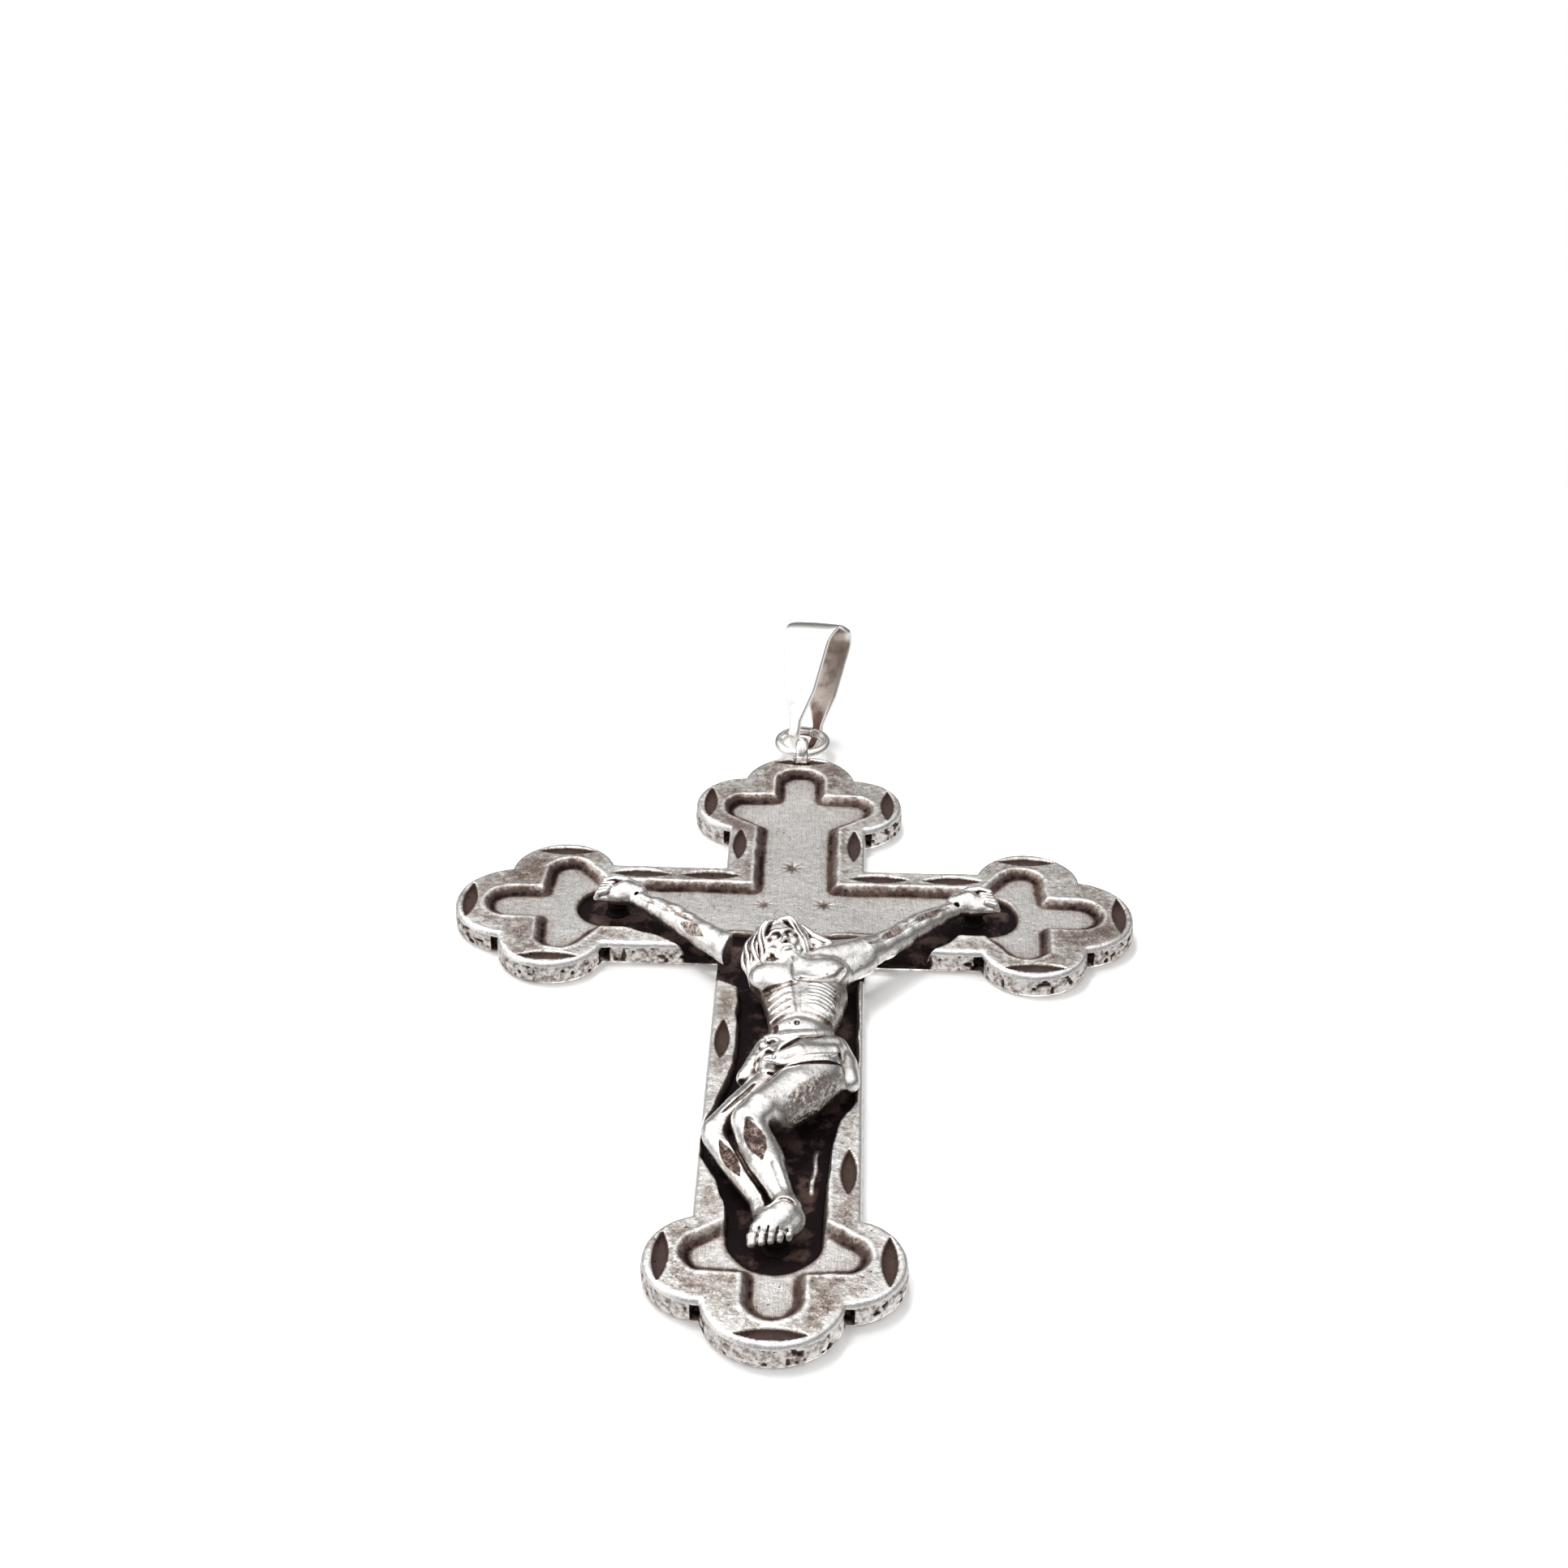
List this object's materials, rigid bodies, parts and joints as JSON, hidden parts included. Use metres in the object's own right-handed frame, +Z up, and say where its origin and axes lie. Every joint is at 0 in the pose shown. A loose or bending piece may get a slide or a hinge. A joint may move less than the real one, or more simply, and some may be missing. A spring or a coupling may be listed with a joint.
{
  "type": "crucifix pendant",
  "caption": "Small cast silver crucifix pendant: trefoil-ended cross plate with an engraved recessed field, a standing corpus, and an eyelet, jump ring and folded bail to hang it from.",
  "frame": {"origin": "the point where the arms' centre lines cross, on the flat back of the cross plate", "axes": "+Z up the long axis towards the bail, +X to the viewer's right, +Y out of the flat back, so the figure faces -Y"},
  "size_m": [0.0466, 0.0096, 0.0739],
  "materials": {
    "plate_silver": "cast silver with a worn brown-grey patina, brushed field and bright rims",
    "figure_silver": "cast silver, polished by wear on the high places and dark in the hollows",
    "dark_silver": "blackened silver",
    "bright_silver": "polished silver"
  },
  "bodies": {
    "cross": {"cross_plate": "plate_silver", "corpus": "figure_silver", "arm_left": "figure_silver", "arm_right": "figure_silver", "hand_post_left": "dark_silver", "hand_post_right": "dark_silver", "back_post": "dark_silver", "foot_post": "dark_silver", "eyelet": "plate_silver"},
    "ring": {"jump_ring": "bright_silver"},
    "bail": {"bail": "bright_silver"}
  },
  "joints": [
    {"name": "ring_swing", "type": "hinge", "parent": "cross", "child": "ring", "pos_m": [0, -0.00135, 0.0215], "axis": [1, 0, 0], "range_deg": [-90, 90]},
    {"name": "bail_swing", "type": "hinge", "parent": "ring", "child": "bail", "pos_m": [0, -0.00135, 0.02505], "axis": [1, 0, 0], "range_deg": [-90, 25]}
  ]
}
